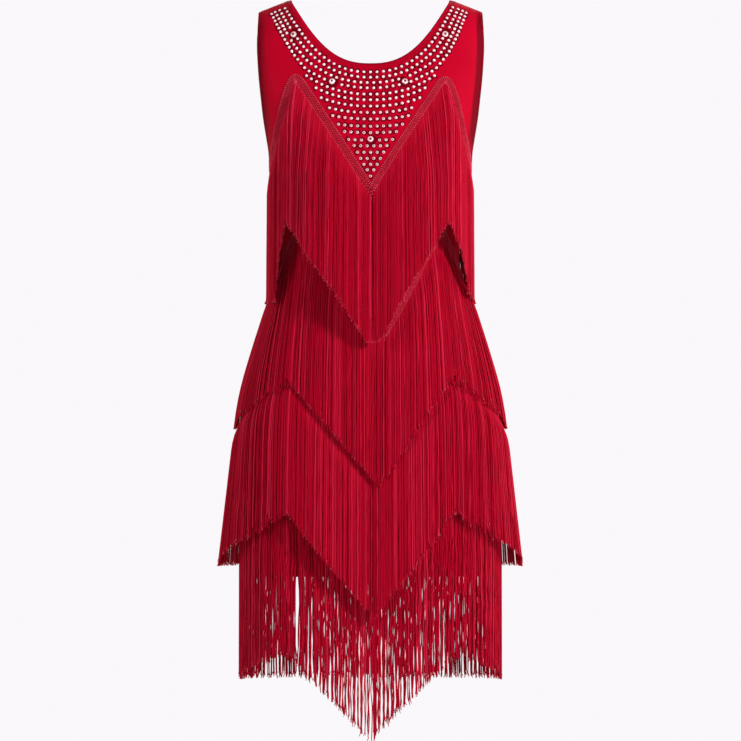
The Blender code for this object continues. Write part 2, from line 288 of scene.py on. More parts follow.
def creased(points, normals, creases):
    """Raises each crease along its line, fading out just past its ends."""
    for crease in creases:
        ends = np.array([[crease.x0, -crease.drop0], [crease.x1, -crease.drop1]])
        line = ends[1] - ends[0]
        seen = points[:, [0, 2]] - ends[0]
        t = seen @ line / (line @ line)
        off = np.linalg.norm(seen - np.clip(t, 0, 1)[:, None] * line, axis=1)
        height = crease.high * np.exp(-((off / crease.wide) ** 2))
        height = height * np.clip(CREASE_FADE - np.abs(2 * t - 1), 0, 1)
        points += height[:, None] * normals


def normals_of(points, faces):
    """The way out at each point of a mesh."""
    mesh = bpy.data.meshes.new("measured")
    mesh.from_pydata(points.tolist(), [], faces)
    normals = np.array([tuple(vertex.normal) for vertex in mesh.vertices])
    bpy.data.meshes.remove(mesh)
    return normals


def piece_of(name, points, faces, material, smooth=True):
    """An object of this name, mesh and material, put into the scene."""
    mesh = bpy.data.meshes.new(name)
    mesh.from_pydata(np.asarray(points).tolist(), [], faces)
    if smooth:
        mesh.shade_smooth()
    mesh.materials.append(material)
    piece = bpy.data.objects.new(name, mesh)
    bpy.context.scene.collection.objects.link(piece)
    return piece


def marked(piece, name, values, domain="POINT"):
    """Gives every point or face of a piece a value that its material reads."""
    mark = piece.data.attributes.new(name, "FLOAT", domain)
    mark.data.foreach_set("value", np.ravel(values).astype(np.float32))


class Panel:
    """One cut panel as worn: its inner face as a grid, outward normals, and its mesh."""

    def __init__(self, name, side):
        self.name, self.side = name, side
        shares = np.linspace(-1, 1, 2 * CELLS + 1)
        top = top_edge(side)
        rows = []
        for band in range(YOKE_BANDS):
            row = yoke_row((band / YOKE_BANDS) ** YOKE_CROWDING, top, shares, side)
            rows.append(np.array([place(share, drop, side) for share, drop in row]))
        for drop in np.linspace(YOKE_FOOT, HEM_DROP, BODY_BANDS + 1):
            rows.append(row_of(shares, drop, side))
        self.rows, self.columns = len(rows), len(shares)
        points = np.concatenate(rows)
        # The turned values are painted shade: they darken the cloth along the armholes and the neck.
        self.turned = turn_in_and_paint_shade(points, side)
        self.faces = self.grid_faces()
        creased(points, normals_of(points, self.faces), CREASES[side])
        self.points = points
        self.normals = normals_of(points, self.faces)
        self.roll_neck()
        self.level_seams()

    def index(self, row, column):
        return row * self.columns + column

    def grid_faces(self):
        faces = []
        for row in range(self.rows - 1):
            for column in range(self.columns - 1):
                a, b = self.index(row, column), self.index(row, column + 1)
                face = [a, a + self.columns, b + self.columns, b]
                faces.append(face if self.side < 0 else face[::-1])
        return faces

    def roll_neck(self):
        """Rolls the neck's edge in, a little less where it nears the shoulder seams, and darkens it with
        painted shade.
        """
        first = EDGE_CELLS[1] + EDGE_CELLS[2]
        for column in range(first, self.columns - first):
            end = min(column - first, self.columns - 1 - first - column)
            edge = self.points[column].copy()
            ease = min(end / NECK_ROLL_ENDS, 1)
            for row in range(NECK_ROLL_ROWS):
                index = self.index(row, column)
                near = 1 - np.linalg.norm(self.points[index] - edge) / NECK_ROLL_WIDE
                if near > 0:
                    self.points[index] -= ease * NECK_ROLL * near**2 * self.normals[index]
                    # painted shade along the neck's edge
                    self.turned[index] = max(self.turned[index], NECK_ROLL_PAINTED_SHADE * near)

    def seams(self):
        """The points on a side or shoulder seam."""
        _, shoulder, armhole = EDGE_CELLS
        last = self.columns - 1
        found = {self.index(row, end) for row in range(self.rows) for end in (0, last)}
        for start in (armhole, last - armhole - shoulder):
            found |= set(range(start, start + shoulder + 1))
        return found

    def level_seams(self):
        """At a seam both panels' walls face the same way, so that they meet without a step."""
        for index in self.seams():
            self.normals[index][1] = 0.0
            self.normals[index] /= np.linalg.norm(self.normals[index])

    def rim(self):
        """The grid's border, once round."""
        last_row, last_column = self.rows - 1, self.columns - 1
        loop = [self.index(0, column) for column in range(last_column)]
        loop += [self.index(row, last_column) for row in range(last_row)]
        loop += [self.index(last_row, column) for column in range(last_column, 0, -1)]
        loop += [self.index(row, 0) for row in range(last_row, 0, -1)]
        return loop

    def wall(self):
        """Points and faces of the closed wall, its rim rounded except along the seams."""
        count, seams = len(self.points), self.seams()
        outer = self.points + CLOTH * self.normals
        loop = self.rim()
        edge = self.points[loop]
        run = np.roll(edge, -1, axis=0) - np.roll(edge, 1, axis=0)
        out = np.cross(run, self.normals[loop])
        out *= -self.side / np.linalg.norm(out, axis=1)[:, None]
        out[[index in seams for index in loop]] = 0.0
        middle = edge + CLOTH / 2 * self.normals[loop] + RIM_ROUND * out
        points = np.concatenate([self.points, outer, middle])
        faces = [face[::-1] for face in self.faces]
        faces += [[index + count for index in face] for face in self.faces]
        for k, a in enumerate(loop):
            after = (k + 1) % len(loop)
            b, a_mid, b_mid = loop[after], 2 * count + k, 2 * count + after
            for quad in ([a, b, b_mid, a_mid], [a_mid, b_mid, b + count, a + count]):
                faces.append(quad if self.side < 0 else quad[::-1])
        return points, faces


def filler(tree):
    """A way to fill a node's inputs with values or links, and one to add a node so filled."""

    def fill(node, inputs):
        for key, value in inputs.items():
            if isinstance(value, bpy.types.NodeSocket):
                tree.links.new(value, node.inputs[key])
            else:
                node.inputs[key].default_value = value

    def add(kind, inputs=(), **settings):
        node = tree.nodes.new(kind)
        for key, value in settings.items():
            setattr(node, key, value)
        fill(node, dict(inputs))
        return node

    return fill, add


def material_of(name):
    """A new material, its shader, and the ways to fill and add nodes."""
    material = bpy.data.materials.new(name)
    material.use_nodes = True
    return material, material.node_tree.nodes["Principled BSDF"], *filler(material.node_tree)


def tones(add, factor, stops):
    """A run of colours through stops of (position, colour)."""
    node = add("ShaderNodeValToRGB", {"Fac": factor})
    elements = node.color_ramp.elements
    for position, colour in stops[1:-1]:
        elements.new(position).color = colour
    for element, (position, colour) in ((elements[0], stops[0]), (elements[-1], stops[-1])):
        element.position, element.color = position, colour
    return node.outputs["Color"]


def blend(add, factor, one, other):
    inputs = {"Factor": factor, 6: one, 7: other}
    return add("ShaderNodeMix", inputs, data_type="RGBA").outputs[2]


def waves(add, place_on, scale, distortion, detail, direction):
    inputs = {"Vector": place_on, "Scale": scale, "Distortion": distortion, "Detail": detail}
    return add("ShaderNodeTexWave", inputs, bands_direction=direction).outputs["Fac"]


def raised_by(add, height, strength, distance):
    inputs = {"Strength": strength, "Distance": distance, "Height": height}
    return add("ShaderNodeBump", inputs).outputs["Normal"]


def jersey_material():
    """Fine wales on the outside, a slow change of tone, the soft sheen of a stretch knit, and a painted shade
    along the armholes and the neck.
    """
    material, shader, fill, add = material_of("red_jersey")
    place_on = add("ShaderNodeTexCoord").outputs["Object"]
    drift = add("ShaderNodeTexNoise", {"Vector": place_on, "Scale": 9.0, "Detail": 3.0}).outputs["Fac"]
    reds = [(0.30, (0.535, 0.0006, 0.0185, 1)), (0.72, (0.600, 0.0008, 0.0215, 1))]
    # The turned attribute is painted shade: it mixes the red towards a dark red along the armholes and the
    # neck.
    turned = add("ShaderNodeAttribute", attribute_name="turned").outputs["Fac"]
    turned = add("ShaderNodeMapRange", {"Value": turned}).outputs["Result"]
    tone = blend(add, turned, tones(add, drift, reds), (0.22, 0.0004, 0.0085, 1))
    rough = add("ShaderNodeMapRange", {"Value": drift, "To Min": 0.50, "To Max": 0.60})
    wales = waves(add, place_on, 380.0, 0.8, 1.0, "X")
    courses = waves(add, place_on, 520.0, 1.2, 1.0, "Z")
    knit = add("ShaderNodeMath", {0: wales, 1: courses}, operation="MULTIPLY").outputs[0]
    fill(shader, {"Base Color": tone, "Normal": raised_by(add, knit, 0.25, 0.0002)})
    fill(shader, {"Roughness": rough.outputs["Result"], "Specular IOR Level": 0.12})
    fill(shader, {"Specular Tint": (1.0, 0.12, 0.20, 1)})
    return material


JERSEY = jersey_material()
front, back = Panel("front", -1), Panel("back", 1)
for panel in (front, back):
    panel.sheet = piece_of(f"{panel.name}_jersey", *panel.wall(), JERSEY)
    # Each point's painted shade goes to the jersey's material; the rim's middle points take their edge's
    # shade.
    edge = panel.turned[panel.rim()]
    marked(panel.sheet, "turned", np.concatenate([panel.turned, panel.turned, edge]))
    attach(panel.sheet, "root")
    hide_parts(f"{panel.name}_panel")

# ----------------------------------------------------------
# Sewing of the panels. The turned edges of the neck, the armholes and the bottom are held by two
# rows of a fine matching stitch, and the layer that is turned in shows inside. The shoulder and
# side seams lie flat outside; their overlocking inside is not built.

TURNING = 0.0085  # depth of cloth turned in at an edge
# The turned layer in section: how far from the edge, and how high over the cloth's inner face
TURNING_PROFILE = [(0.0002, -0.0001), (TURNING, -0.0001), (TURNING, -0.0009), (0.0002, -0.0009)]
STITCH_ROWS = (0.0046, 0.0070)  # from the edge
STITCH_PITCH = 0.0026
STITCH_LONG, STITCH_WIDE, STITCH_LIFT = 0.0021, 0.00095, 0.0001
STITCH_FULL = 0.55  # share of a stitch's length that is thick


def surface_of(points, faces):
    return BVHTree.FromPolygons([tuple(point) for point in points], faces)


def line_frames(line, facing):
    """The directions along a line on the cloth and across it."""
    run = np.gradient(line, axis=0)
    run /= np.linalg.norm(run, axis=1)[:, None]
    across = np.cross(facing, run)
    across /= np.linalg.norm(across, axis=1)[:, None]
    return run, across


def on_cloth(surface, points, height):
    """The nearest places on a cloth to these points, raised by a height, and the way out there."""
    found, facing = [], []
    for point in points:
        nearest, normal, _, _ = surface.find_nearest(Vector(point))
        found.append(tuple(nearest))
        facing.append(tuple(normal))
    facing = np.array(facing)
    return np.array(found) + np.asarray(height).reshape(-1, 1) * facing, facing


def resampled(line, pitch):
    """A line's points at an even pitch along it."""
    run = distances(line)
    wanted = np.linspace(0, run[-1], max(int(round(run[-1] / pitch)), 2) + 1)
    return np.stack([np.interp(wanted, run, line[:, k]) for k in range(3)], axis=1)


def band(line, across, surface, profile):
    """A tape swept along a line: profile is a closed loop of (across, height) over the cloth."""
    rings = [on_cloth(surface, line + reach * across, height)[0] for reach, height in profile]
    points = np.stack(rings, axis=1)
    at = np.arange(points[..., 0].size).reshape(points.shape[:2])
    after = np.roll(at, -1, axis=1)
    quads = np.stack([at[:-1], after[:-1], after[1:], at[1:]], axis=-1).reshape(-1, 4)
    return points.reshape(-1, 3), quads.tolist() + [at[0, ::-1].tolist(), at[-1].tolist()]


def stitches(centres, run, facing, long, wide, high):
    """Small rounded stitches of thread, lying along run."""
    across = np.cross(facing, run)
    points = []
    for centre, a, b, c in zip(centres, run * long / 2, across * wide / 2, facing * high / 2):
        for end in (-STITCH_FULL, STITCH_FULL):
            points += [centre + end * a + b, centre + end * a + c, centre + end * a - b]
            points.append(centre + end * a - c)
        points += [centre - a, centre + a]
    faces = []
    for k in range(len(centres)):
        n = 10 * k
        for j in range(4):
            after = (j + 1) % 4
            faces.append([n + j, n + after, n + 4 + after, n + 4 + j])
            faces.append([n + 8, n + after, n + j])
            faces.append([n + 9, n + 4 + j, n + 4 + after])
    return np.array(points), faces


def gathered(parts):
    """Several (points, faces) as one."""
    points, faces, count = [], [], 0
    for part_points, part_faces in parts:
        points.append(part_points)
        faces += [[index + count for index in face] for face in part_faces]
        count += len(part_points)
    return np.concatenate(points), faces


def thread_material(name, dark, light, roughness):
    """Twisted polyester or rayon thread: a fine diagonal twist, and a tone that changes along it."""
    material, shader, fill, add = material_of(name)
    place_on = add("ShaderNodeTexCoord").outputs["Object"]
    patches = add("ShaderNodeTexNoise", {"Vector": place_on, "Scale": 160.0, "Detail": 2.0})
    twist = waves(add, place_on, 700.0, 0.6, 2.0, "DIAGONAL")
    tone = blend(add, patches.outputs["Fac"], dark, light)
    fill(shader, {"Base Color": tone, "Normal": raised_by(add, twist, 0.3, 0.0002)})
    fill(shader, {"Roughness": roughness, "Specular IOR Level": 0.2})
    fill(shader, {"Specular Tint": (1.0, 0.3, 0.4, 1)})
    return material


SEWING = thread_material("sewing_thread", (0.20, 0.001, 0.009, 1), (0.38, 0.004, 0.020, 1), 0.42)


def edge_lines(panel):
    """The panel's open edges, armholes, neck and bottom, with the way that the cloth faces there."""
    _, shoulder, armhole = EDGE_CELLS
    last = panel.columns - 1
    spans = [
        (0, 0, armhole),
        (0, armhole + shoulder, last - armhole - shoulder),
        (0, last - armhole, last),
        (panel.rows - 1, 0, last),
    ]
    for row, start, end in spans:
        at = [panel.index(row, column) for column in range(start, end + 1)]
        yield panel.points[at], panel.normals[at]


for panel in (front, back):
    surface = panel.surface = surface_of(panel.points, panel.faces)
    turnings, sewing = [], []
    for line, normals in edge_lines(panel):
        _, across = line_frames(line, normals)
        inward = panel.points.mean(axis=0) - line.mean(axis=0)
        if (across @ inward).sum() < 0:
            across = -across
        turnings.append(band(line, across, surface, TURNING_PROFILE))
        for reach in STITCH_ROWS:
            spots, facing = on_cloth(surface, line + reach * across, CLOTH)
            spots = resampled(spots, STITCH_PITCH)
            spots, facing = on_cloth(surface, spots, CLOTH + STITCH_LIFT)
            run, _ = line_frames(spots, facing)
            sewing.append(stitches(spots, run, facing, STITCH_LONG, STITCH_WIDE, STITCH_WIDE))
    turned = piece_of(f"{panel.name}_turnings", *gathered(turnings), JERSEY)
    sewn = piece_of(f"{panel.name}_stitching", *gathered(sewing), SEWING)
    for piece in (turned, sewn):
        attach(piece, "root")
    panel.edging = [sewn, turned]

# ----------------------------------------------------------
# Headings of the fringe. Each tier hangs from a crocheted heading about 10 mm wide, two rows of
# chain over a lattice of looped thread, sewn flat to the jersey: a zigzag in front with its V at
# the centre, and level behind. At each V the wearer's left leg lies over the right.

TAPE_WIDTHS = (0.0112, 0.0086)  # of the leg on the -X side, drawn wide by its cords, and the other
TAPE_THICK = 0.0009
TAPE_SEAT = 0.0002
# The tape in section: (share of its width, share of its thickness)
TAPE_PROFILE = [(0.0, 0.0), (0.0, 0.5), (0.12, 0.9), (0.5, 1.0), (0.88, 0.9), (1.0, 0.5), (1.0, 0.0)]
LOOP_PITCH = 0.0028
LATTICE_REACHES = (0.20, 0.35, 0.50, 0.65, 0.80)  # shares of the tape's width
LATTICE_LEAN = (0.55, 0.83)  # along and across the tape
LATTICE_LOOP = (0.0021, 0.0013, 0.0015)  # long, wide, high
CHAIN_REACHES = (0.05, 0.93)
CHAIN_LEAN = (0.80, 0.60)
CHAIN_LOOP = (0.0020, 0.0021, 0.0020)
CHAIN_SUNK = 0.1  # share of the tape's thickness
ROOT_REACH = 0.875  # share of a heading's width at which its cords are held
OVERLAP = {-1: 0.045, 1: 0.010}  # share by which each leg runs on past the V
OVER_HEIGHT, OVER_FADE = 0.0012, 0.008
LEFT_RISE = 0.0030  # the leg on the -X side is sewn on this much higher
RUN_PAST = 1.3  # a heading's ends slant over this many times its slant's length
LEAST_FADE = 0.001  # metres over which even a square end slants
ROUNDING, ROUNDING_STEPS = 0.035, 15  # share over which a corner of the zigzag is rounded
LEG_STEPS, LEVEL_STEPS = 200, 240  # points that a line in front and one behind is measured at

# The first tier's heading from its V to the side seam, and its tips from seam to seam
FIRST_HEADING = [
    (0.0, 0.236), (0.445, 0.0985), (0.515, 0.0995), (0.572, 0.130), (0.639, 0.165), (0.757, 0.192),
    (1.0, 0.222),
]
FIRST_TIPS = [
    (-1.0, 0.388), (-0.67, 0.386), (-0.60, 0.334), (-0.53, 0.292), (-0.50, 0.288), (-0.44, 0.299),
    (-0.25, 0.3665), (-0.03, 0.4375), (0.04, 0.4375), (0.095, 0.429), (0.39, 0.3045), (0.44, 0.287),
    (0.475, 0.287), (0.52, 0.305), (0.60, 0.326), (0.72, 0.375), (0.90, 0.3876), (1.0, 0.388),
]
SECOND_TIPS = [(-1.0, 0.548), (-0.571, 0.490), (0.06, 0.622), (0.571, 0.487), (1.0, 0.548)]
THIRD_TIPS = [(-1.0, 0.723), (-0.5, 0.655), (0.02, 0.790), (0.5, 0.655), (1.0, 0.723)]
FOURTH_TIPS = [(-1.0, 0.867), (-0.5, 0.838), (0.0, 0.9455), (0.5, 0.838), (1.0, 0.867)]
# Each tier's heading and tips as (share, drop), how far its V is shifted, how far its tips swing
# out at the side and in front, and how high its cords stand off the cloth
Tier = namedtuple("Tier", "heading shift tips side_out front_out lift")
TIERS = [
    Tier(FIRST_HEADING, 0.0, FIRST_TIPS, 0.001, 0.008, 0.0045),
    Tier([(0.0, 0.421), (0.571, 0.290), (1.0, 0.358)], 0.085, SECOND_TIPS, 0.002, 0.003, 0.0045),
    Tier([(0.0, 0.595), (0.5, 0.463), (1.0, 0.532)], 0.0, THIRD_TIPS, 0.021, 0.009, 0.0045),
    Tier([(0.0, 0.714), (0.5, 0.620), (1.0, 0.655)], 0.0, FOURTH_TIPS, 0.0, 0.0, 0.0020),
]


def zigzag(tier, share, hand):
    """Drop of one leg of a front heading at a share, its corners rounded except for the V."""
    shares, drops = np.array(tier.heading).T
    shares[0] = hand * tier.shift
    if share <= shares[0]:
        return drops[0] + (share - shares[0]) * (drops[1] - drops[0]) / (shares[1] - shares[0])
    window = min(ROUNDING, share - shares[0])
    spread = share + window * np.linspace(-1, 1, ROUNDING_STEPS)
    spread = np.where(spread > 1, 2 - spread, spread)
    return float(np.interp(spread, shares, drops).mean())


def heading_lines(tier, side):
    """The upper edge of a heading over the form: two legs in front, one level run behind."""
    if side > 0:
        drop = tier.heading[-1][1]
        return [row_of(np.linspace(-1, 1, LEVEL_STEPS), drop, side)]
    lines = []
    for hand in (-1, 1):
        shares = np.linspace(hand * tier.shift - OVERLAP[hand], 1, LEG_STEPS)
        rise = LEFT_RISE if hand < 0 else 0.0
        leg = [place(hand * share, zigzag(tier, share, hand) - rise, side) for share in shares]
        lines.append(np.array(leg))
    return lines


def slanted(run, across, line, ends, width):
    """Turns across at the given ends of a line until it hangs plumb, so that two lengths meet."""
    travelled = distances(line)
    slant = np.zeros(len(line))
    for end in ends:
        away = np.abs(travelled - travelled[end])
        level = np.cross((0.0, 0.0, 1.0), np.cross(run[end], across[end]))
        k = -(across[end] @ level) / (run[end] @ level)
        fade = RUN_PAST * abs(k) * width + LEAST_FADE
        slant += k * np.clip(1 - away / fade, 0, 1)
    return across + slant[:, None] * run


def heading_parts(line, surface, over, width):
    """A heading's tape, lattice and chains along a line, and the lines where it is seated and holds
    its cords. It is raised and cut square at the end that lies over another."""
    line = resampled(line, LOOP_PITCH)
    seated, facing = on_cloth(surface, line, CLOTH)
    run, across = line_frames(seated, facing)
    if across[len(across) // 2][2] > 0:
        across = -across
    across = slanted(run, across, seated, [-1] if over else [0, -1], width)
    lift = CLOTH + TAPE_SEAT + over * np.exp(-((np.arange(len(line)) * LOOP_PITCH / OVER_FADE) ** 2))
    loop = [(reach * width, lift + height * TAPE_THICK) for reach, height in TAPE_PROFILE]
    tape = band(line, across, surface, loop)
    top = lift + TAPE_THICK
    lattice, chains = [], []
    for row, reach in enumerate(LATTICE_REACHES):
        odd = row % 2
        spots = line + reach * width * across + 0.5 * odd * LOOP_PITCH * run
        spots, out = on_cloth(surface, spots, top)
        lean = LATTICE_LEAN[0] * run + (LATTICE_LEAN[1] if odd else -LATTICE_LEAN[1]) * across
        lattice.append(loops(spots, lean, out, *LATTICE_LOOP))
    for reach in CHAIN_REACHES:
        spots, out = on_cloth(surface, line + reach * width * across, top - CHAIN_SUNK * TAPE_THICK)
        chains.append(loops(spots, CHAIN_LEAN[0] * run + CHAIN_LEAN[1] * across, out, *CHAIN_LOOP))
    return (tape, gathered(lattice), gathered(chains)), (seated, seated + ROOT_REACH * width * across)


def loops(centres, lean, facing, long, wide, high):
    """The visible tops of crocheted loops, one to a place, each lying along its lean."""
    across = np.cross(facing, lean)
    a, b, c = lean * long / 2, across * wide / 2, facing * high / 2
    points = np.stack([centres - a, centres + b, centres + a, centres - b, centres + c, centres - c], 1)
    faces = []
    for k in range(len(centres)):
        n = 6 * k
        for j in range(4):
            after = (j + 1) % 4
            faces.append([n + j, n + after, n + 5])
            faces.append([n + after, n + j, n + 4])
    return points.reshape(-1, 3), faces


# The tape is painted dark as the shade between its loops, and the lattice and chain loops light pink as their
# painted highlights.
THREADS = [
    thread_material("heading_tape", (0.28, 0.0007, 0.012, 1), (0.40, 0.0011, 0.017, 1), 0.6),
    thread_material("heading_lattice", (0.60, 0.0040, 0.034, 1), (1.00, 0.0900, 0.160, 1), 0.5),
    thread_material("heading_chains", (0.66, 0.0060, 0.035, 1), (1.00, 0.2000, 0.300, 1), 0.4),
]
for panel in (front, back):
    panel.rails, panel.trims = [], []
    for number, tier in enumerate(TIERS):
        parts, rails = [], []
        for leg, line in enumerate(heading_lines(tier, panel.side)):
            made, rail = heading_parts(line, panel.surface, leg * OVER_HEIGHT, TAPE_WIDTHS[leg])
            parts += made
            rails.append(rail)
        heading = piece_of(f"{panel.name}_heading_{number + 1}", *gathered(parts), THREADS[0])
        for thread in THREADS[1:]:
            heading.data.materials.append(thread)
        slots = np.repeat(np.arange(len(parts)) % len(THREADS), [len(faces) for _, faces in parts])
        heading.data.polygons.foreach_set("material_index", slots.astype(np.int32))
        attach(heading, "root")
        panel.trims.append(heading)
        panel.rails.append(rails)

# ----------------------------------------------------------
# Fringe. Limp cords of twisted rayon, a little over a millimetre thick and about 190 mm long,
# hang close together from each heading in two or three ranks. They fall free of the body below
# the bust and the hips, draw together in small groups, and end in ragged, slightly curled tips.

CORD_SIDES = 4
CORD_STEPS = 14
# How far down a cord each of its rings lies: they crowd at the root, and the last is its curled tip
RINGS = np.append(0.978 * np.linspace(0, 1, CORD_STEPS) ** 1.25, 1.0)
CURL = RINGS == 1.0
LIFT_LENGTH = 0.030  # a cord stands its full lift off the cloth this far below its heading
RANK_DEPTH, CORD_CLEAR = 0.0026, 0.0002
HEM_NEAR = 0.002  # cords that pass the bottom go on as they hung this far above it

# Distance between cords along a heading, their radius, how they stray and ripple, how far they
# draw together in bundles, how ragged their ends are, and how much painted highlight lightens their tips
Hang = namedtuple("Hang", "pitch radius stray ripple bundled ragged frayed")
FRONT_HANG = [
    Hang(0.00076, 0.00054, 0.6, 0.00030, 0.12, 0.0024, 0.80),
    Hang(0.00074, 0.00055, 0.6, 0.00025, 0.08, 0.0024, 0.35),
    Hang(0.00072, 0.00056, 0.7, 0.00025, 0.08, 0.0026, 0.35),
    Hang(0.00114, 0.00062, 1.0, 0.00080, 0.80, 0.0075, 0.15),
]
BACK_HANG = [
    Hang(0.00072, 0.00058, 0.8, 0.00030, 0.10, 0.0022, 0.75),
    Hang(0.00070, 0.00060, 0.6, 0.00020, 0.05, 0.0022, 0.35),
    Hang(0.00074, 0.00060, 0.7, 0.00025, 0.08, 0.0028, 0.60),
    Hang(0.00086, 0.00060, 1.0, 0.00045, 0.70, 0.0075, 0.15),
]
THICKNESSES = (0.85, 1.15)  # the thinnest and the thickest cord
SIDE_FADE, FRONT_FADE = 4, 6  # how fast the swing at the side and in front fades round the body
CUT_SPREAD, CUT_LOW = 1.5, 0.2  # cords end from a little below their line to well above it
ROOT_JITTER = 0.45  # share of their pitch by which cords leave their heading unevenly
FREE_LENGTH = 0.19  # a cord strays and is bundled in full this far down
STRAYS = [(0.0006, (0.0047, 0.0071)), (0.0007, (0.014, 0.021, 0.034))]  # neighbours go together
STRAY_ALONE = 0.0006
RIPPLE_LENGTHS, RIPPLE_SETS_IN = (0.035, 0.080), 0.06
BUNDLE_WIDE = (0.0020, 0.0070)
BUNDLE_LATE = 2.6  # bundles draw together mostly near the tips
PARTING_AT, PARTING_WIDE, PARTING_REACH = -0.0941, 0.0050, 0.0060  # one parting in the lowest tier
PARTING_OPENS, PARTING_CLOSES = 0.10, 0.05  # down from the heading, and up from the tips
PROUD, PROUD_LENGTHS = 0.0003, (0.017, 0.037)  # some lie a little over their neighbours
CURL_ASIDE, CURL_OUT, CURL_RANGE, TIP_THICKNESS = 0.0013, 0.0016, (-0.3, 1), 0.6
SHADE, SHADE_SPREAD = 0.48, 0.09
# How many cords are painted lighter down their length as a highlight, by how much, and the lightest a cord's
# body may be
HIGHLIGHT_CORDS, PAINTED_HIGHLIGHT, PALEST = 0.13, 0.34, 0.9
# The ends of the middle front tiers are cut less evenly at the sides: (share, how many times)
UNEVEN_TIERS = (1, 2)
UNEVEN = [
    (-1.0, 1.0), (-0.80, 1.3), (-0.72, 6.0), (-0.62, 6.5), (-0.50, 1.0), (0.05, 1.0),
    (0.14, 3.0), (0.50, 3.0), (0.62, 7.0), (0.72, 6.5), (0.80, 1.3), (1.0, 1.0),
]


def tip_drop(tier, share, side):
    """How far down a tier's cords end at a share: behind, all at one level."""
    shares, drops = np.array(tier.tips).T
    return drops[-1] if side > 0 else float(np.interp(share, shares, drops))


def share_at(point, side):
    """The share of a point on the form, negative on the -X side."""
    drop = -point[2]
    for _ in range(3):
        drop = -point[2] - fall_at(point[0], drop)
    x, y, run = quarter(drop, side)
    near = np.hypot(x - abs(point[0]), y - point[1])
    return math.copysign(run[int(np.argmin(near))] / run[-1], point[0])


def cord_roots(rails, pitch, chance):
    """Where cords leave their heading, at its lower part, and how far round the body each is."""
    roots, where = [], []
    for seated, held in rails:
        run, level = distances(seated), distances(seated[:, :2])
        hand = math.copysign(1, seated[-1][0] - seated[0][0])
        count = int(run[-1] / pitch)
        at = np.arange(count) + 0.5 + ROOT_JITTER * chance.uniform(-1, 1, count)
        at = at * run[-1] / count
        roots.append(np.stack([np.interp(at, run, held[:, k]) for k in range(3)], axis=1))
        where.append(seated[0][0] + hand * np.interp(at, run, level))
    return np.concatenate(roots), np.concatenate(where)


def bundled(where, chance):
    """How far each cord is from the middle of its bundle."""
    count = int(2 * np.abs(where).max() / BUNDLE_WIDE[0])
    ends = where.min() + np.cumsum(chance.uniform(*BUNDLE_WIDE, count))
    after = np.searchsorted(ends, where).clip(1, count - 1)
    return (ends[after - 1] + ends[after]) / 2 - where


def slow_wave(at, lengths, chance):
    """A smooth random wave along a heading, from -1 to 1."""
    total = np.zeros_like(at)
    for length in lengths:
        total += np.sin(2 * math.pi * at / length + chance.uniform(0, 2 * math.pi))
    return total / len(lengths)


def fallen(root, tip_z, radius, rank, tier, wall):
    """A cord's fall under its own weight: level points down it, and the way off the body there."""
    length = -root[2] + tip_z
    point, away, path, outs = root, None, [], []
    for share in RINGS:
        point = np.array([point[0], point[1], root[2] + length * share])
        lift = min(-length * share / LIFT_LENGTH, 1.0) * (tier.lift + rank)
        clear = radius + CORD_CLEAR + lift
        for _ in range(2):
            seen = Vector((point[0], point[1], max(point[2], HEM_NEAR - HEM_DROP)))
            nearest, facing, _, _ = wall.find_nearest(seen)
            level = math.hypot(facing[0], facing[1])
            away = np.array([facing[0], facing[1], 0.0]) / level
            short = clear - (seen - nearest).dot(facing)
            if short > 0:
                point = point + short / level * away
        swing = tier.side_out * away[0] ** SIDE_FADE + tier.front_out * away[1] ** FRONT_FADE
        path.append(point + share * swing * away)
        outs.append(away)
    return np.array(path), np.array(outs)


def cords(paths, radii):
    """Tubes round the paths, each closed at its tip."""
    turn = np.arange(CORD_SIDES) * 2 * math.pi / CORD_SIDES
    ring = np.stack([np.cos(turn), np.sin(turn), np.zeros(CORD_SIDES)], axis=1)
    points = paths[:, :, None, :] + radii[:, :, None, None] * ring
    at = np.arange(points[..., 0].size).reshape(points.shape[:3])
    after = np.roll(at, -1, axis=2)
    quads = np.stack([at[:, :-1], at[:, 1:], after[:, 1:], after[:, :-1]], axis=-1)
    return points.reshape(-1, 3), quads.reshape(-1, 4).tolist() + at[:, -1, ::-1].tolist()


def cord_material():
    """Silky rayon: every cord its own depth of red, its lightest tones painted highlights, and a fine chain
    of stitches down it.
    """
    material, shader, fill, add = material_of("rayon_cord")
    # The two lightest stops are painted highlights: pink for the highlighted cords, near white for the tips.
    reds = [
        (0.0, (0.36, 0.0010, 0.0140, 1)),
        (0.55, (0.55, 0.0014, 0.0230, 1)),
        (0.90, (0.80, 0.0220, 0.0700, 1)),
        (1.0, (1.0, 0.16, 0.24, 1)),
    ]
    shade = add("ShaderNodeAttribute", attribute_name="shade").outputs["Fac"]
    place_on = add("ShaderNodeTexCoord").outputs["Object"]
    chain = waves(add, place_on, 270.0, 1.0, 1.0, "Z")
    fill(shader, {"Base Color": tones(add, shade, reds), "Normal": raised_by(add, chain, 0.35, 0.0003)})
    fill(shader, {"Roughness": 0.40, "Specular IOR Level": 0.24, "Specular Tint": (1.0, 0.12, 0.22, 1)})
    return material


CORD = cord_material()
wall_points, wall_faces = gathered(
    [(panel.points + CLOTH * panel.normals, panel.faces) for panel in (front, back)]
)
wall = surface_of(wall_points, wall_faces)


def hung(roots, rank, radii, side, number, ragged, chance):
    """The fall of each cord of a tier to its own tip."""
    tier = TIERS[number]
    paths, outs = [], []
    for root, depth, radius in zip(roots, rank, radii):
        share = share_at(root, side)
        uneven = np.interp(share, *np.array(UNEVEN).T) if side < 0 and number in UNEVEN_TIERS else 1.0
        cut = ragged * uneven * (chance.uniform(0, 1) ** CUT_SPREAD - CUT_LOW)
        path, out = fallen(root, cut - tip_drop(tier, share, side), radius, depth, tier, wall)
        paths.append(path)
        outs.append(out)
    return np.array(paths), np.array(outs)


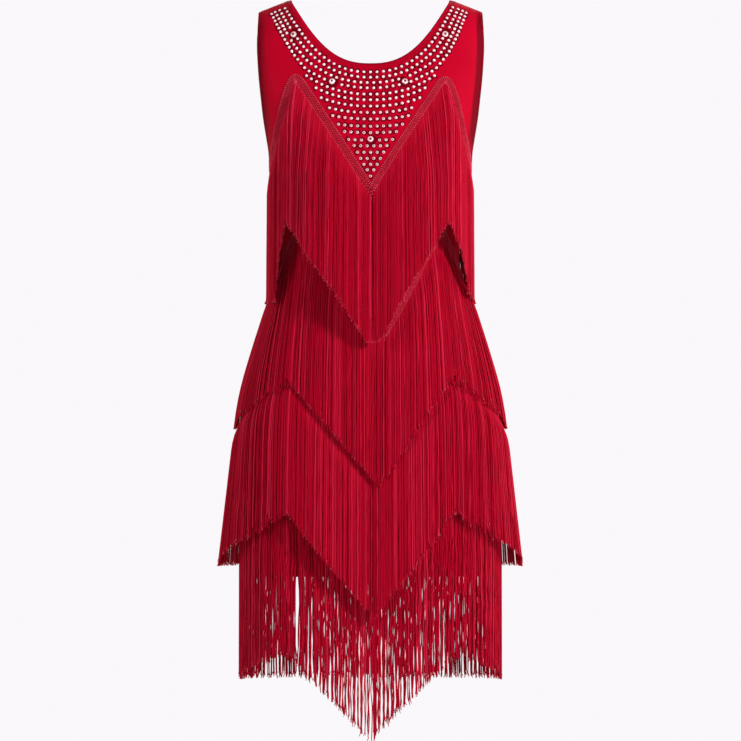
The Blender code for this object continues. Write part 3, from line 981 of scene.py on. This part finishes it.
def disarranged(where, down, hang, chance):
    """How far each ring of each cord lies aside, and how far it stands out over its neighbours."""
    total = len(where)
    eased = np.minimum(down / FREE_LENGTH, 1.0)
    stray = sum(far * slow_wave(where, lengths, chance) for far, lengths in STRAYS)
    stray += STRAY_ALONE * chance.normal(0, 1, total)
    length = chance.uniform(*RIPPLE_LENGTHS, total)[:, None]
    phase = chance.uniform(0, 2 * math.pi, total)[:, None]
    ripple = hang.ripple * np.sin(2 * math.pi * down / length + phase)
    aside = hang.stray * stray[:, None] * eased + ripple * np.minimum(down / RIPPLE_SETS_IN, 1.0)
    aside += hang.bundled * bundled(where, chance)[:, None] * eased**BUNDLE_LATE
    aside += CURL * CURL_ASIDE * chance.normal(0, 1, total)[:, None]
    proud = PROUD * (1 + slow_wave(where, PROUD_LENGTHS, chance))[:, None] * eased
    return aside, proud + CURL * CURL_OUT * chance.uniform(*CURL_RANGE, total)[:, None]


def parting(x, down):
    """How far the cords at x are pushed aside, from nothing at their roots to nothing at their tips."""
    beside = x - PARTING_AT
    push = PARTING_WIDE / 2 * np.sign(beside) * np.exp(-((beside / PARTING_REACH) ** 2))
    closing = np.minimum((down[:, -1:] - down) / PARTING_CLOSES, 1.0)
    return push[:, None] * np.minimum(down / PARTING_OPENS, 1.0) ** 2 * closing


def shades(total, frayed, chance):
    """How light each ring of each cord is: each cord its own depth of red, a few painted lighter as a
    highlight, and the tips painted lighter still as a highlight.
    """
    shade = SHADE + SHADE_SPREAD * chance.normal(0, 1, total)
    shade[chance.uniform(0, 1, total) < HIGHLIGHT_CORDS] += PAINTED_HIGHLIGHT
    shade = np.minimum(shade, PALEST)[:, None] + CURL * frayed * chance.uniform(0, 1, total)[:, None]
    return np.repeat(np.clip(shade, 0, 1), CORD_SIDES, axis=1)


for panel, hangs in ((front, FRONT_HANG), (back, BACK_HANG)):
    for number, hang in enumerate(hangs):
        chance = np.random.default_rng(40 + 10 * number + panel.side)
        roots, where = cord_roots(panel.rails[number], hang.pitch, chance)
        rank = RANK_DEPTH * chance.uniform(0, 1, len(roots))
        radii = hang.radius * chance.uniform(*THICKNESSES, len(roots))
        paths, outs = hung(roots, rank, radii, panel.side, number, hang.ragged, chance)
        down = roots[:, 2:3] - paths[:, :, 2]
        aside, proud = disarranged(where, down, hang, chance)
        if number == len(TIERS) - 1:
            aside += parting(paths[:, -1, 0], down)
        round_body = np.stack([outs[:, :, 1], -outs[:, :, 0], 0 * outs[:, :, 0]], axis=2)
        paths += panel.side * aside[:, :, None] * round_body + proud[:, :, None] * outs
        points, faces = cords(paths, radii[:, None] * np.where(CURL, TIP_THICKNESS, 1.0))
        piece = piece_of(f"{panel.name}_cords_{number + 1}", points, faces, CORD)
        marked(piece, "shade", shades(len(roots), hang.frayed, chance))
        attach(piece, "root")
        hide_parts(f"{panel.name}_fringe_{number + 1}")
        panel.trims.append(piece)

# ----------------------------------------------------------
# Rhinestones. Foiled glass flat-backs of 4 mm, and five of 8 mm, are glued to the front yoke in
# rows that follow the neckline. Four rows run up to the shoulder seams, and the lower ones fill
# the V of the first heading down to its point.

STONE_RADIUS, STONE_HIGH = 0.00198, 0.0014
BIG_RADIUS, BIG_HIGH = 0.0040, 0.0026
FACETS = 8
# Rings of a stone from its foot up: how far out, how high, and turned by how much of a facet; the first is a
# painted shadow's rim
STONE_RINGS = [(2.15, 0.03, 0.0), (1.0, 0.20, 0.0), (0.80, 0.62, 0.5), (0.46, 1.0, 0.0)]
STONE_TILT = 0.05
# How light the facets are, a painted reflection: those round the girdle are painted deeper with the red, and
# the tables of the lower stones and of the large ones are painted dark as a reflection of the room
FACET_TONE, FACET_SPREAD, GIRDLE_DEEPER = 0.80, 0.24, 0.18
TABLE_DROPS, TABLE_TONES, BIG_TABLE = (0.13, 0.17), (0.8, 0.0), 0.15
# How far below the neckline each row of stones runs
ROW_DEPTHS = [
    0.0115, 0.0180, 0.0246, 0.0312, 0.0391, 0.0461, 0.0541, 0.0622, 0.0703,
    0.0794, 0.0875, 0.0970, 0.1044, 0.1125, 0.1203, 0.1278, 0.1348, 0.1427,
]
ROWS_UP_STRAP = 4
STONE_PITCH, STRAP_PITCH = 0.0084, 0.0058
# The rows bow out at the bend of the neckline and draw together up the strap: (x, how far down)
BOWED = [(0.030, 0.0), (0.066, 0.0038), (0.083, 0.0083), (0.097, 0.0055), (0.110, 0.0), (0.127, -0.009)]
ROW_BOWS = [0.0, 0.33, 0.67, 1.0, 0.4, 0.15] + 12 * [0.0]
# Rows whose first stone isn't at the centre but half a pitch away, or beside the large stone
FIRST_STONES = dict.fromkeys((2, 3, 7, 12, 14, 16), STONE_PITCH / 2) | {11: 0.0116}
FLATTEN = 1.2  # lower rows lose the curve of the neckline
HEADING_MARGIN = 0.0095
STRAP_TOP = 0.0085
STRAIGHT_FROM, STRAP_SLOPE = 0.96, 1.75  # the neckline is straight up the strap
STRAP_RISE = np.linspace(0.001, 0.060, 60)
ROW_STEPS = 200  # points that a row is measured at
STRAP_LEAN, LEAN_FOOT = {-1: 0.0015, 1: 0.0062}, 0.065  # up each strap the rows lean to the neck
BIG_STONES = [(-0.0980, 0.0450), (0.0953, 0.0450), (-0.0488, 0.1058), (0.0440, 0.1058), (0.0, 0.1786)]


def neck_line(depth, bow):
    """Half of a row of the stones' layout: the neckline moved down and out, flattened and bowed."""
    x = np.linspace(0, STRAIGHT_FROM * NECK_HALF, ROW_STEPS)
    drop = NECK_DEPTH[-1] * (1 - (x / NECK_HALF) ** NECK_CURVE)
    x = np.concatenate([x, x[-1] + STRAP_RISE / STRAP_SLOPE])
    drop = np.concatenate([drop, drop[-1] - STRAP_RISE])
    slope = np.gradient(drop, x)
    size = np.hypot(1, slope)
    out_x = x - slope / size * depth
    out_drop = drop + depth / size
    lowest = NECK_DEPTH[-1] + depth
    kept = (1 - max(depth - ROW_DEPTHS[ROWS_UP_STRAP - 1], 0.0) / ROW_DEPTHS[-1]) ** FLATTEN
    out_drop = lowest - (lowest - out_drop) * kept + bow * np.interp(out_x, *np.array(BOWED).T)
    return out_x, out_drop


def stone_spots():
    """Places (x, drop) of the small stones, both hands of every row."""
    apex, peak = TIERS[0].heading[:2]
    spots = []
    for number, depth in enumerate(ROW_DEPTHS):
        x, drop = neck_line(depth, ROW_BOWS[number])
        x, drop = x[drop > STRAP_TOP], drop[drop > STRAP_TOP]
        run = distances(np.stack([x, drop], axis=1))
        stops = [FIRST_STONES.get(number, 0.0)]
        while stops[-1] < run[-1]:
            stops.append(stops[-1] + STONE_PITCH - (STONE_PITCH - STRAP_PITCH) * stops[-1] / run[-1])
        for at in np.array(stops) * run[-1] / stops[-1]:
            here_x, here_drop = np.interp(at, run, x), np.interp(at, run, drop)
            leg = apex[1] + share_of(here_x, here_drop, -1) * (peak[1] - apex[1]) / peak[0]
            if number >= ROWS_UP_STRAP and here_drop > leg - HEADING_MARGIN:
                break
            for hand in (-1, 1) if here_x > 0 else (1,):
                lean = STRAP_LEAN[hand] * max(1 - here_drop / LEAN_FOOT, 0.0) if here_x > 0 else 0.0
                spots.append((hand * (here_x - lean), here_drop))
    return spots


def stone(radius, high, turn):
    """A flat-back's points: a dark ring of painted shadow round its foot, girdle, middle ring turned half a
    facet, table.
    """
    points = []
    for reach, height, shift in STONE_RINGS:
        for k in range(FACETS):
            angle = turn + 2 * math.pi * (k + shift) / FACETS
            points.append((radius * reach * math.cos(angle), radius * reach * math.sin(angle), high * height))
    return points


def stone_faces():
    """The foot, the painted shadow's ring and the girdle in quads, two rows of facets in triangles, and the
    table.
    """
    a = np.arange(len(STONE_RINGS) * FACETS).reshape(-1, FACETS)
    b = np.roll(a, -1, axis=1)
    faces = [a[0, ::-1].tolist()]
    for corners in (
        (a[0], b[0], b[1], a[1]),
        (a[1], b[1], a[2]),
        (b[1], b[2], a[2]),
        (a[2], b[2], b[3]),
        (a[2], b[3], a[3]),
    ):
        faces += np.stack(corners, axis=1).tolist()
    return faces + [a[3].tolist()]


def crystal_material():
    """Clear glass over a silver foil. Each facet's colour is a painted reflection of the foil, the room or
    the red beside it, and the stone glows faintly in it, a painted light.
    """
    material, shader, fill, add = material_of("foiled_crystal")
    facet = add("ShaderNodeAttribute", attribute_name="facet").outputs["Fac"]
    stops = [(0.12, (0.14, 0.004, 0.012, 1)), (0.45, (0.95, 0.32, 0.38, 1)), (0.80, (1.0, 0.84, 0.86, 1))]
    tone = tones(add, facet, stops)
    # Painted light: the stones glow faintly in their facets' colours, though they are no lamp.
    fill(shader, {"Base Color": tone, "Emission Color": tone, "Emission Strength": 0.26})
    fill(shader, {"Metallic": 0.1, "Roughness": 0.16, "Coat Weight": 1.0, "Coat Roughness": 0.03})
    return material


def painted_stone_shadow_material():
    """A dark, mottled ring of painted shadow that lies on the jersey round each stone."""
    material, shader, fill, add = material_of("painted_stone_shadow")
    place_on = add("ShaderNodeTexCoord").outputs["Object"]
    shadow_mottle = add("ShaderNodeTexNoise", {"Vector": place_on, "Scale": 600.0}).outputs["Fac"]
    tone = blend(add, shadow_mottle, (0.06, 0.0003, 0.0030, 1), (0.30, 0.0008, 0.0110, 1))
    fill(shader, {"Base Color": tone, "Roughness": 0.3})
    fill(shader, {"Specular IOR Level": 0.08, "Specular Tint": (1.0, 0.2, 0.3, 1)})
    return material


CRYSTAL, PAINTED_STONE_SHADOW = crystal_material(), painted_stone_shadow_material()
chance = np.random.default_rng(7)


def set_stones(name, spots, radius, high, table=None):
    """Stones glued to the front at (x, drop) spots, each turned and tilted its own way."""
    parts, faces = [], stone_faces()
    for x, drop in spots:
        base = place(math.copysign(share_of(abs(x), drop, -1), x), drop, -1)
        (seat,), (facing,) = on_cloth(front.surface, [base], CLOTH - 0.0001)
        tilt = facing + STONE_TILT * chance.normal(0, 1, 3)
        tilt /= np.linalg.norm(tilt)
        right = np.cross((0.0, 0.0, 1.0), tilt)
        right /= np.linalg.norm(right)
        up = np.cross(tilt, right)
        local = np.array(stone(radius, high, chance.uniform(0, 2 * math.pi)))
        parts.append((seat + local @ np.stack([right, up, tilt]), faces))
    piece = piece_of(name, *gathered(parts), CRYSTAL, smooth=False)
    # The second material is the painted shadow: the foot and the ring round it take it, the rest the crystal.
    piece.data.materials.append(PAINTED_STONE_SHADOW)
    slots = np.tile(np.arange(len(faces)) <= FACETS, len(spots))
    piece.data.polygons.foreach_set("material_index", slots.astype(np.int32))
    # Each face's lightness is a painted reflection: random, deeper round the girdle, and dark on the tables
    # by drop or on the large stones.
    shown = chance.normal(FACET_TONE, FACET_SPREAD, (len(spots), len(faces)))
    shown[:, : 3 * FACETS] -= GIRDLE_DEEPER
    shown[:, -1] = [table or np.interp(drop, TABLE_DROPS, TABLE_TONES) for _, drop in spots]
    marked(piece, "facet", np.clip(shown, 0, 1), "FACE")
    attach(piece, "root")
    return piece


small_spots = [
    spot
    for spot in stone_spots()
    if all(math.dist(spot, big) > STONE_RADIUS + BIG_RADIUS for big in BIG_STONES)
]
stones = set_stones("rhinestones", small_spots, STONE_RADIUS, STONE_HIGH)
big_stones = set_stones("large_rhinestones", BIG_STONES, BIG_RADIUS, BIG_HIGH, BIG_TABLE)

# ----------------------------------------------------------
# Studio: a pale round floor that melts into even white surroundings, a key lamp at the right with
# a weaker one beside it, a wide fill at the left, and a weak one behind the dress.

FLOOR_DEPTH = 1.42
FLOOR_RADIUS, FLOOR_FADE = 3.5, (0.5, 3.4)  # it fades out between these two radii
PIXEL = 0.00128  # metres at the dress to a pixel of the render
IMAGE = 741  # pixels across the render
CAMERA_FAR = 20.0


def floor_material():
    """A pale, slightly mottled paint, clear at the floor's rim."""
    material, shader, fill, add = material_of("pale_floor")
    place_on = add("ShaderNodeTexCoord").outputs["Object"]
    mottle = add("ShaderNodeTexNoise", {"Vector": place_on, "Scale": 1.5, "Detail": 4.0})
    tone = blend(add, mottle.outputs["Fac"], (0.80, 0.78, 0.80, 1), (0.84, 0.82, 0.84, 1))
    away = add("ShaderNodeVectorMath", {0: place_on}, operation="LENGTH").outputs["Value"]
    limits = {"From Min": FLOOR_FADE[0], "From Max": FLOOR_FADE[1], "To Min": 1.0, "To Max": 0.0}
    fade = add("ShaderNodeMapRange", {"Value": away, **limits})
    fill(shader, {"Base Color": tone, "Alpha": fade.outputs["Result"], "Roughness": 0.9})
    return material


bpy.ops.mesh.primitive_circle_add(
    vertices=128, radius=FLOOR_RADIUS, fill_type="NGON", location=(0, 0, -FLOOR_DEPTH)
)
floor = bpy.context.object
floor.name = "floor"
floor.data.materials.append(floor_material())

world = bpy.data.worlds.new("studio")
bpy.context.scene.world = world
world.use_nodes = True
world.node_tree.nodes.clear()
_, add = filler(world.node_tree)
seen = add("ShaderNodeBackground", {"Color": (0.955, 0.935, 0.958, 1)})
lit = add("ShaderNodeBackground", {"Color": (1.0, 0.97, 0.98, 1), "Strength": 0.24})
ray = add("ShaderNodeLightPath").outputs["Is Camera Ray"]
mix = add("ShaderNodeMixShader", {0: ray, 1: lit.outputs[0], 2: seen.outputs[0]})
add("ShaderNodeOutputWorld", {"Surface": mix.outputs[0]})


def soft_light(name, place_at, aim, size, power):
    """A round lamp of this width and power, aimed at a point."""
    light = bpy.data.lights.new(name, "AREA")
    light.shape = "DISK"
    light.size = size
    light.energy = power
    lamp = bpy.data.objects.new(name, light)
    lamp.location = place_at
    lamp.rotation_mode = "QUATERNION"
    lamp.rotation_quaternion = (Vector(aim) - Vector(place_at)).to_track_quat("-Z", "Y")
    bpy.context.scene.collection.objects.link(lamp)


LAMPS_AIM = (0.0, 0.0, -0.45)
soft_light("key", (2.2, -2.0, 0.60), LAMPS_AIM, 0.5, 71)
soft_light("right", (3.0, -0.3, 0.3), LAMPS_AIM, 1.2, 18)
soft_light("fill", (-2.9, -1.6, 0.60), LAMPS_AIM, 1.6, 40)
soft_light("behind", (0.3, 2.6, 0.6), LAMPS_AIM, 1.8, 12)

camera = bpy.data.objects.new("camera", bpy.data.cameras.new("camera"))
camera.location = (0.0, -CAMERA_FAR, -(IMAGE / 2 - 1) * PIXEL)
camera.rotation_euler = (math.pi / 2, 0, 0)
camera.data.sensor_width = 36.0
camera.data.lens = camera.data.sensor_width * CAMERA_FAR / (IMAGE * PIXEL)
camera.data.clip_end = 3 * CAMERA_FAR
bpy.context.scene.collection.objects.link(camera)
bpy.context.scene.camera = camera
bpy.context.scene.view_settings.view_transform = "Standard"
